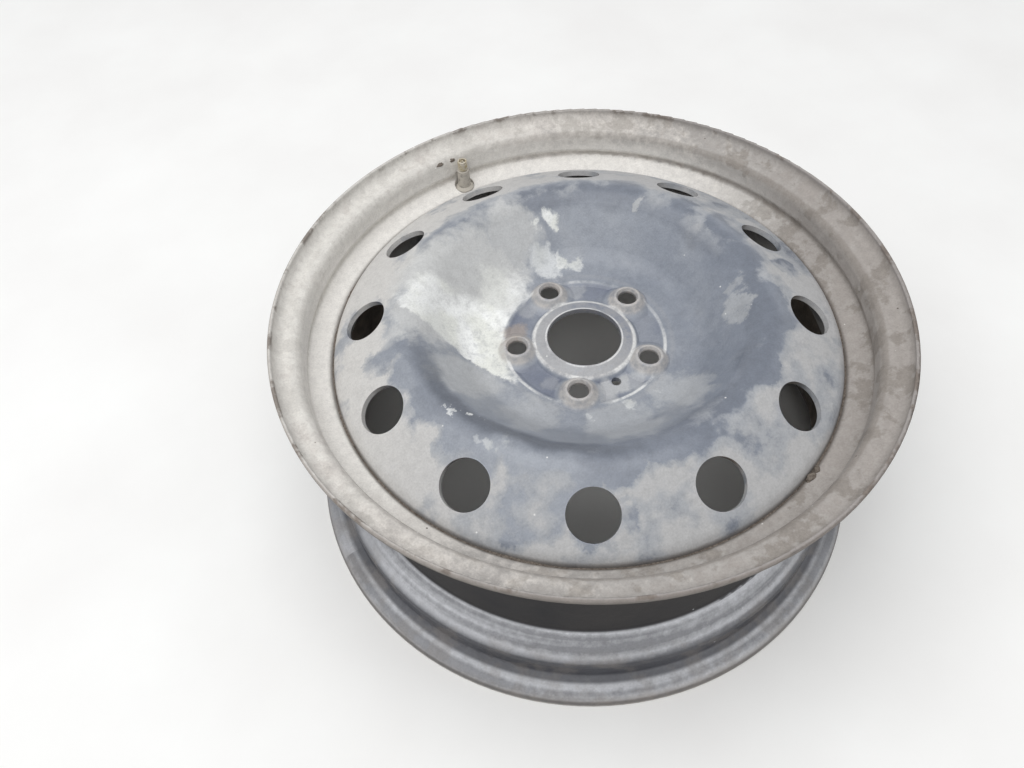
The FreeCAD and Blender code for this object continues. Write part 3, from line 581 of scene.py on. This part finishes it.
def makeWeldPaint(look):
    material, tree = newMaterial("paintedArcWeld")
    at = wheelPlace(tree)
    angle = add(tree, "Math", {"operation": "ARCTAN2"}, {0: at["y"], 1: at["x"]})
    perTurn = 2 * math.pi * look["radius"] / look["rippleSpacing"]
    phase = add(tree, "Math", {"operation": "MULTIPLY", 1: perTurn}, {0: angle})
    fine = add(tree, "TexNoise", {"Scale": perMm(look["scale"]), "Detail": 6.0}, {"Vector": at["place"]})
    wobble = add(tree, "Math", {"operation": "MULTIPLY_ADD", 1: look["wobble"]}, {0: fine, 2: phase})
    ripple = add(tree, "Math", {"operation": "SINE"}, {0: wobble})
    bump = add(tree, "Bump", {"Strength": 0.6, "Distance": 0.0005}, {"Height": ripple})
    amount = add(tree, "MapRange", {"From Min": 0.4, "From Max": 0.7}, {"Value": fine})
    colour = add(tree, "Mix", {"data_type": "RGBA", "A": hexColour(look["paint"]),
                               "B": hexColour(look["dust"])}, {"Factor": amount})
    shader = add(tree, "BsdfPrincipled", {"Roughness": 0.5, "IOR": 1.5},
                 {"Base Color": colour, "Normal": bump})
    add(tree, "OutputMaterial", links={"Surface": shader})
    return material


# Moulded black rubber grey with road dust, darker where it was rubbed
rubberLook = {"rubber": "#4a4744", "dust": "#c4beb3", "seal": "#3a2320", "grain": 0.9, "blot": 4,
              "dustOnTop": 0.2}


def makeRubber(look, name, rubber, dusted):
    material, tree = newMaterial(name)
    place = add(tree, "TexCoord").outputs["Object"]
    faceUp = add(tree, "SeparateXYZ", links={0: add(tree, "NewGeometry").outputs["Normal"]}).outputs[2]
    fine = add(tree, "TexNoise", {"Scale": perMm(look["blot"]), "Detail": 8.0, "Roughness": 0.7},
               {"Vector": place})
    grain = add(tree, "TexNoise", {"Scale": perMm(look["grain"]), "Detail": 3.0}, {"Vector": place})
    rise = add(tree, "Math", {"operation": "MULTIPLY_ADD", 1: look["dustOnTop"]}, {0: faceUp, 2: fine})
    amount = add(tree, "MapRange", {"From Min": 0.24, "From Max": 0.50, "To Max": dusted}, {"Value": rise})
    colour = add(tree, "Mix", {"data_type": "RGBA", "A": hexColour(rubber), "B": hexColour(look["dust"])},
                 {"Factor": amount})
    bump = add(tree, "Bump", {"Strength": 0.3, "Distance": 0.0003}, {"Height": grain})
    rough = add(tree, "MapRange", {"To Min": 0.6, "To Max": 0.9}, {"Value": amount})
    shader = add(tree, "BsdfPrincipled", {"IOR": 1.52},
                 {"Base Color": colour, "Roughness": rough, "Normal": bump})
    add(tree, "OutputMaterial", links={"Surface": shader})
    return material


# Turned brass gone dull, pale with dust in patches
brassLook = {"brass": "#bda976", "dull": "#8d8060", "dust": "#c6c0b4", "blot": 2.5, "turning": 0.6,
             "waveTurn": 6.28}


def makeBrass(look):
    material, tree = newMaterial("turnedBrass")
    place = add(tree, "TexCoord").outputs["Object"]
    fine = add(tree, "TexNoise", {"Scale": perMm(look["blot"]), "Detail": 7.0, "Roughness": 0.65},
               {"Vector": place})
    rings = add(tree, "TexWave",
                {"bands_direction": "Z", "Scale": perMm(look["turning"]) / look["waveTurn"],
                 "Distortion": 1.0}, {"Vector": place})
    metal = add(tree, "Mix", {"data_type": "RGBA", "A": hexColour(look["dull"]),
                              "B": hexColour(look["brass"])}, {"Factor": fine})
    amount = add(tree, "MapRange", {"From Min": 0.34, "From Max": 0.54, "To Max": 0.92}, {"Value": fine})
    colour = add(tree, "Mix", {"data_type": "RGBA", "B": hexColour(look["dust"])},
                 {"Factor": amount, "A": metal})
    clean = add(tree, "MapRange", {"To Min": 1.0, "To Max": 0.1}, {"Value": amount})
    rough = add(tree, "MapRange", {"To Min": 0.32, "To Max": 0.75}, {"Value": amount})
    bump = add(tree, "Bump", {"Strength": 0.2, "Distance": 0.0001}, {"Height": rings.outputs["Fac"]})
    shader = add(tree, "BsdfPrincipled", {},
                 {"Base Color": colour, "Metallic": clean, "Roughness": rough, "Normal": bump})
    add(tree, "OutputMaterial", links={"Surface": shader})
    return material


# Drawn spring wire: bright, with fine grey flecks
wireLook = {"bright": "#c4c5c6", "grey": "#8f9194", "fleck": 0.4}


def makeSpringWire(look):
    material, tree = newMaterial("drawnSpringWire")
    place = add(tree, "TexCoord").outputs["Object"]
    fleck = add(tree, "TexNoise", {"Scale": perMm(look["fleck"]), "Detail": 5.0}, {"Vector": place})
    colour = add(tree, "Mix", {"data_type": "RGBA", "A": hexColour(look["grey"]),
                               "B": hexColour(look["bright"])}, {"Factor": fleck})
    rough = add(tree, "MapRange", {"To Min": 0.22, "To Max": 0.4}, {"Value": fleck})
    shader = add(tree, "BsdfPrincipled", {"Metallic": 1.0}, {"Base Color": colour, "Roughness": rough})
    add(tree, "OutputMaterial", links={"Surface": shader})
    return material


# Dried road mud: crumbly, light where it dried, dark in the cracks
mudLook = {"dry": "#857c73", "damp": "#4d453e", "crumb": 1.8}


def makeMud(look):
    material, tree = newMaterial("driedRoadMud")
    place = add(tree, "TexCoord").outputs["Object"]
    crumb = add(tree, "TexNoise", {"Scale": perMm(look["crumb"]), "Detail": 8.0, "Roughness": 0.7},
                {"Vector": place})
    colour = add(tree, "ValToRGB", {"stops": [(0.35, look["damp"]), (0.65, look["dry"])]}, {"Fac": crumb})
    bump = add(tree, "Bump", {"Strength": 0.8, "Distance": 0.0008}, {"Height": crumb})
    shader = add(tree, "BsdfPrincipled", {"Roughness": 0.95, "IOR": 1.4},
                 {"Base Color": colour, "Normal": bump})
    add(tree, "OutputMaterial", links={"Surface": shader})
    return material


discPaint = makeDiscPaint(discLook)
rimPaint = makeRimPaint(rimLook)
weldPaint = makeWeldPaint(weldLook)
valveRubber = makeRubber(rubberLook, "mouldedValveRubber", rubberLook["rubber"], 0.9)
sealRubber = makeRubber(rubberLook, "mouldedSealRubber", rubberLook["seal"], 0.1)
brass = makeBrass(brassLook)
springWire = makeSpringWire(wireLook)
mud = makeMud(mudLook)

finishes = {
    "rim": rimPaint, "disc": discPaint, "weld_beads": weldPaint, "valve_body": valveRubber,
    "valve_stem": brass, "core_plug": brass, "core_barrel": brass, "core_gasket": sealRubber,
    "core_pin": brass, "core_spring": springWire, "core_cup": brass, "cup_seal": sealRubber,
}
for name, finish in finishes.items():
    mesh = cadNodes[name].data
    mesh.materials.clear()
    mesh.materials.append(finish)
print("materials on", len(finishes), "nodes")


def newPiece(name, bm, material):
    mesh = bpy.data.meshes.new(name)
    bm.to_mesh(mesh)
    bm.free()
    for polygon in mesh.polygons:
        polygon.use_smooth = True
    piece = bpy.data.objects.new(name, mesh)
    scene.collection.objects.link(piece)
    mesh.materials.append(material)
    return piece


# Thread on the valve's brass end: standard valve thread, 0.79 mm pitch
thread = {"centre": (0.0, 0.1925), "root": 3.78, "crest": 4.06, "low": 31.3, "high": 38.3, "pitch": 0.79,
          "steps": 40, "flank": 0.42, "flat": 0.25, "fade": 0.5}


def makeThread(size):
    bm = bmesh.new()
    turns = (size["high"] - size["low"]) / size["pitch"]
    count = int(turns * size["steps"])
    half = size["pitch"] * size["flank"]
    rows = []
    for i in range(count + 1):
        angle = 2 * math.pi * i / size["steps"]
        runOut = size["steps"] * size["fade"]
        fade = min(1.0, i / runOut, (count - i) / runOut)
        z = size["low"] + size["pitch"] * i / size["steps"]
        crest = size["root"] + (size["crest"] - size["root"]) * fade
        row = []
        for r, dz in ((size["root"], -half), (crest, -half * size["flat"]), (crest, half * size["flat"]),
                      (size["root"], half)):
            row.append(bm.verts.new((size["centre"][0] + mm * r * math.cos(angle),
                                     size["centre"][1] + mm * r * math.sin(angle), mm * (z + dz))))
        rows.append(row)
    for one, two in zip(rows, rows[1:]):
        for k in range(len(one)):
            bm.faces.new((one[k], one[(k + 1) % len(one)], two[(k + 1) % len(one)], two[k]))
    bm.faces.new(rows[0][::-1])
    bm.faces.new(rows[-1])
    bmesh.ops.recalc_face_normals(bm, faces=bm.faces)
    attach(newPiece("valveThread", bm, brass), "wheel")


makeThread(thread)


# Spring of the valve core: a wire coil from the foot to the top of the core spring part, shown in its place
spring = {"wire": 0.26, "turns": 6, "steps": 48, "sides": 12}


def makeSpring(size):
    low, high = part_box("core_spring")
    half = size["wire"] * mm / 2
    coilRadius = (high.x - low.x) / 2 - half
    foot = Vector(((low.x + high.x) / 2, (low.y + high.y) / 2, low.z + half))
    rise = Vector((0.0, 0.0, high.z - low.z - 2 * half))
    up = Vector((0.0, 0.0, 1.0))
    count = size["turns"] * size["steps"]
    bm = bmesh.new()
    rows = []
    for i in range(count + 1):
        angle = 2 * math.pi * i / size["steps"]
        out = Vector((math.cos(angle), math.sin(angle), 0.0))
        middle = foot + coilRadius * out + rise * (i / count)
        turns = [2 * math.pi * k / size["sides"] for k in range(size["sides"])]
        spokes = [math.cos(turn) * out + math.sin(turn) * up for turn in turns]
        rows.append([bm.verts.new(middle + half * spoke) for spoke in spokes])
    for one, two in zip(rows, rows[1:]):
        for k in range(size["sides"]):
            bm.faces.new((one[k], two[k], two[(k + 1) % size["sides"]], one[(k + 1) % size["sides"]]))
    bm.faces.new(rows[0])
    bm.faces.new(rows[-1][::-1])
    bmesh.ops.recalc_face_normals(bm, faces=bm.faces)
    piece = newPiece("coreSpring", bm, springWire)
    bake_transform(piece)
    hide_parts("core_spring")


makeSpring(spring)


# Earth packed into the joint between disc and rim, all the way round
packing = {"inside": 182.0, "outside": 185.8, "level": 10.2, "swell": 1.2, "floor": 8.6, "steps": 720,
           "across": 5, "swellScale": 0.035, "lump": 0.5, "lumpScale": 0.22, "edgeLift": 0.25}


def makePacking(size):
    bm = bmesh.new()
    rows = []
    for i in range(size["steps"]):
        angle = 2 * math.pi * i / size["steps"]
        row = []
        for k in range(size["across"]):
            radius = size["inside"] + (size["outside"] - size["inside"]) * k / (size["across"] - 1)
            place = Vector((radius * math.cos(angle), radius * math.sin(angle), 0.0))
            height = size["level"] + size["swell"] * noise.noise(place * size["swellScale"])
            height += size["lump"] * noise.noise(place * size["lumpScale"])
            height += size["edgeLift"] * (k == 0 or k == size["across"] - 1)
            row.append(bm.verts.new((place.x * mm, place.y * mm, height * mm)))
        for radius in (size["outside"], size["inside"]):
            row.append(bm.verts.new((mm * radius * math.cos(angle), mm * radius * math.sin(angle),
                                     mm * size["floor"])))
        rows.append(row)
    for one, two in zip(rows, rows[1:] + rows[:1]):
        for k in range(len(one)):
            bm.faces.new((one[k], two[k], two[(k + 1) % len(one)], one[(k + 1) % len(one)]))
    bmesh.ops.recalc_face_normals(bm, faces=bm.faces)
    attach(newPiece("earthInJoint", bm, mud), "wheel")


makePacking(packing)

# Crumbs of dried mud: in the joint, and on the flange beside the valve
clods = [
    {"name": "mudInJoint", "at": (60.0, -175.0, 12.1), "size": (4.4, 2.4, 1.9), "turn": 19.0, "seed": 4},
    {"name": "mudCrumbA", "at": (66.8, -172.8, 11.9), "size": (2.8, 2.0, 1.6), "turn": 40.0, "seed": 7},
    {"name": "mudCrumbB", "at": (-5.0, 201.6, 35.6), "size": (2.6, 1.5, 1.8), "turn": 0.0, "seed": 11},
    {"name": "mudCrumbC", "at": (-16.5, 200.9, 36.2), "size": (3.4, 1.5, 1.4), "turn": 5.0, "seed": 13},
]
clodShape = {"lump": 0.3, "lumpScale": 1.3, "falloff": 0.9, "finer": 2.0, "octaves": 5, "stepX": 3.7,
             "stepY": 1.3}


def makeClod(clod):
    bm = bmesh.new()
    bmesh.ops.create_icosphere(bm, subdivisions=4, radius=1.0)
    offset = Vector((clod["seed"] * clodShape["stepX"], clod["seed"] * clodShape["stepY"], 0.0))
    turn = Matrix.Rotation(math.radians(clod["turn"]), 3, "Z")
    for vert in bm.verts:
        lump = noise.fractal(vert.co * clodShape["lumpScale"] + offset, clodShape["falloff"],
                             clodShape["finer"], clodShape["octaves"])
        co = vert.co * (1.0 + clodShape["lump"] * lump)
        co = turn @ Vector((co.x * clod["size"][0], co.y * clod["size"][1], co.z * clod["size"][2]))
        vert.co = (Vector(clod["at"]) + co) * mm
    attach(newPiece(clod["name"], bm, mud), "wheel")


for clod in clods:
    makeClod(clod)
print("thread, spring, packed earth and", len(clods), "crumbs of mud made")


# Pale coated floor and soft light
stageLook = {"floor": "#f8f8f6", "floorShade": "#f2f1ef", "floorSize": 8.0, "skyColour": "#f4f5f7",
             "skyStrength": 0.62, "lampSize": 3.0, "lampPower": 45.0, "lampAt": (-0.6, -0.2, 2.3),
             "floorGap": 0.0002, "mottle": 160}


def makeStage(look):
    bm = bmesh.new()
    bmesh.ops.create_grid(bm, x_segments=4, y_segments=4, size=look["floorSize"] / 2)
    mesh = bpy.data.meshes.new("floor")
    bm.to_mesh(mesh)
    bm.free()
    floor = bpy.data.objects.new("floor", mesh)
    floor.location.z = cadBox[0].z - look["floorGap"]
    scene.collection.objects.link(floor)
    material, tree = newMaterial("paleFloorCoating")
    place = add(tree, "TexCoord").outputs["Object"]
    mottle = add(tree, "TexNoise", {"Scale": perMm(look["mottle"]), "Detail": 5.0}, {"Vector": place})
    tone = add(tree, "MapRange", {"From Min": 0.3, "From Max": 0.7}, {"Value": mottle})
    colour = add(tree, "Mix", {"data_type": "RGBA", "A": hexColour(look["floorShade"]),
                               "B": hexColour(look["floor"])}, {"Factor": tone})
    shader = add(tree, "BsdfPrincipled", {"Roughness": 0.9}, {"Base Color": colour})
    add(tree, "OutputMaterial", links={"Surface": shader})
    mesh.materials.append(material)

    world = bpy.data.worlds.new("studio")
    scene.world = world
    world.use_nodes = True
    tree = world.node_tree
    tree.nodes.clear()
    seen = add(tree, "LightPath")
    direct = add(tree, "Math", {"operation": "MAXIMUM"},
                 {0: seen.outputs["Is Camera Ray"], 1: seen.outputs["Is Glossy Ray"]})
    direct = add(tree, "Math", {"operation": "MAXIMUM"},
                 {0: direct, 1: seen.outputs["Is Transmission Ray"]})
    light = add(tree, "Background",
                {"Color": hexColour(look["skyColour"]), "Strength": look["skyStrength"]})
    white = add(tree, "Background", {"Color": hexColour("#ffffff"), "Strength": 1.0})
    both = add(tree, "MixShader", links={0: direct, 1: light, 2: white})
    add(tree, "OutputWorld", links={"Surface": both})

    lamp = bpy.data.lights.new("softBox", "AREA")
    lamp.shape = "DISK"
    lamp.size = look["lampSize"]
    lamp.energy = look["lampPower"]
    box = bpy.data.objects.new("softBox", lamp)
    box.location = look["lampAt"]
    box.rotation_euler = (Vector((0, 0, 0)) - box.location).to_track_quat("-Z", "Y").to_euler()
    scene.collection.objects.link(box)


makeStage(stageLook)

# Camera as the photograph was taken: its focal length is in pixels of the photograph
view = {"at": (-0.2215, -0.3333, 0.4799), "focalPixels": 840.3, "down": 52.78, "heading": -25.7,
        "roll": -3.98, "photoWidth": 1024, "sensor": 36.0}
camera = bpy.data.cameras.new("camera")
camera.sensor_width = view["sensor"]
camera.lens = view["focalPixels"] / view["photoWidth"] * camera.sensor_width
eye = bpy.data.objects.new("camera", camera)
aim = Euler((math.radians(90 - view["down"]), 0.0, math.radians(view["heading"]))).to_matrix()
roll = Matrix.Rotation(math.radians(view["roll"]), 3, "Z")
eye.matrix_world = Matrix.Translation(view["at"]) @ (aim @ roll).to_4x4()
scene.collection.objects.link(eye)
scene.camera = eye
print("stage and camera set")
